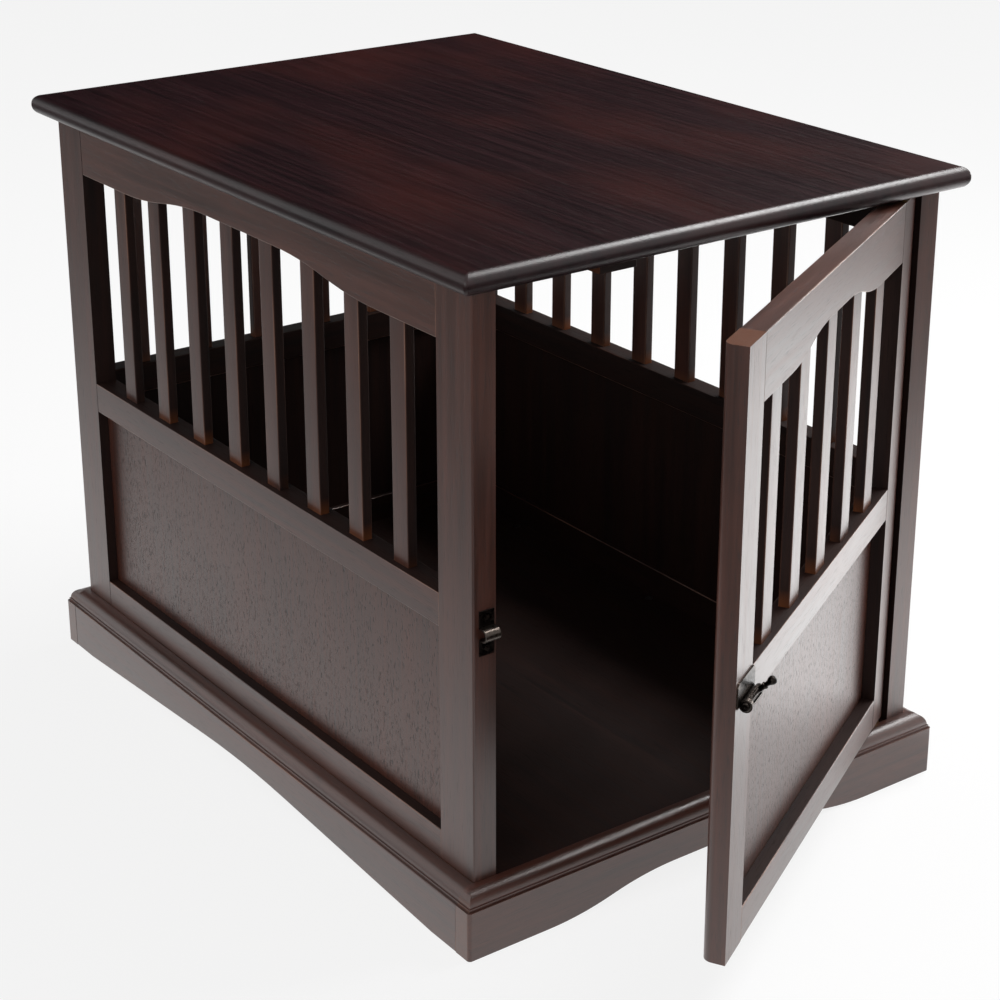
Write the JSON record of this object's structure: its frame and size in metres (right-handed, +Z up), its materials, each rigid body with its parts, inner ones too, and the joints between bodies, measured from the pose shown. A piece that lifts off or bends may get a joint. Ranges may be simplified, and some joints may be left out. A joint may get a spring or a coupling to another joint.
{
  "type": "dog crate end table",
  "caption": "Wooden dog crate that doubles as an end table, with slatted sides, a swinging slatted door with a barrel bolt and a moulded plinth.",
  "frame": {"origin": "on the floor, under the middle of the whole object with its door open as it rests", "axes": "+Z up; -Y towards the end with the door; +X to the right when facing the door, the side with the pivots"},
  "size_m": [0.508, 0.8869, 0.559],
  "materials": {
    "espresso_wood": "satin",
    "bare_wood": "matte",
    "antique_hardware": "satin",
    "steel": "satin",
    "brass": "satin"
  },
  "bodies": {
    "cabinet": {"back_bottom_rail": "espresso_wood", "back_dowels": "bare_wood", "back_mid_rail": "espresso_wood", "back_panel": "espresso_wood", "back_slats": "espresso_wood", "back_top_rail": "espresso_wood", "door_stop": "espresso_wood", "floor_batten_front": "bare_wood", "floor_batten_left": "bare_wood", "floor_batten_rear": "bare_wood", "floor_batten_right": "bare_wood", "floor_panel": "espresso_wood", "floor_screws": "steel", "keeper": "antique_hardware", "keeper_screws": "antique_hardware", "left_bottom_rail": "espresso_wood", "left_front_stile": "espresso_wood", "left_mid_rail": "espresso_wood", "left_panel": "espresso_wood", "left_rear_stile": "espresso_wood", "left_slats": "espresso_wood", "left_top_rail": "espresso_wood", "pivot_bush_bottom": "brass", "pivot_bush_top": "brass", "plinth_front": "espresso_wood", "plinth_left": "espresso_wood", "plinth_rear": "espresso_wood", "plinth_right": "espresso_wood", "plinth_screws": "steel", "right_bottom_rail": "espresso_wood", "right_front_stile": "espresso_wood", "right_mid_rail": "espresso_wood", "right_panel": "espresso_wood", "right_rear_stile": "espresso_wood", "right_slats": "espresso_wood", "right_top_rail": "espresso_wood", "table_top": "espresso_wood", "top_batten_left": "espresso_wood", "top_batten_right": "espresso_wood", "top_screws": "steel"},
    "door": {"door_bottom_rail": "espresso_wood", "door_free_stile": "espresso_wood", "door_hinge_stile": "espresso_wood", "door_mid_rail": "espresso_wood", "door_panel": "espresso_wood", "door_slats": "espresso_wood", "door_top_rail": "espresso_wood", "pivot_pin_top": "steel", "pivot_pin_bottom": "steel", "latch_plate": "antique_hardware", "latch_screws": "antique_hardware"},
    "bolt": {"latch_bolt": "antique_hardware", "latch_knob": "antique_hardware"}
  },
  "joints": [
    {"name": "door_swing", "type": "hinge", "parent": "cabinet", "child": "door", "pos_m": [0.203, -0.22756, 0.3], "axis": [0, 0, 1], "range_deg": [-29.3, 65.7]},
    {"name": "bolt_slide", "type": "slide", "parent": "door", "child": "bolt", "axis": [-0.8721, -0.4894, 0], "range_m": [0, 0.018]}
  ]
}
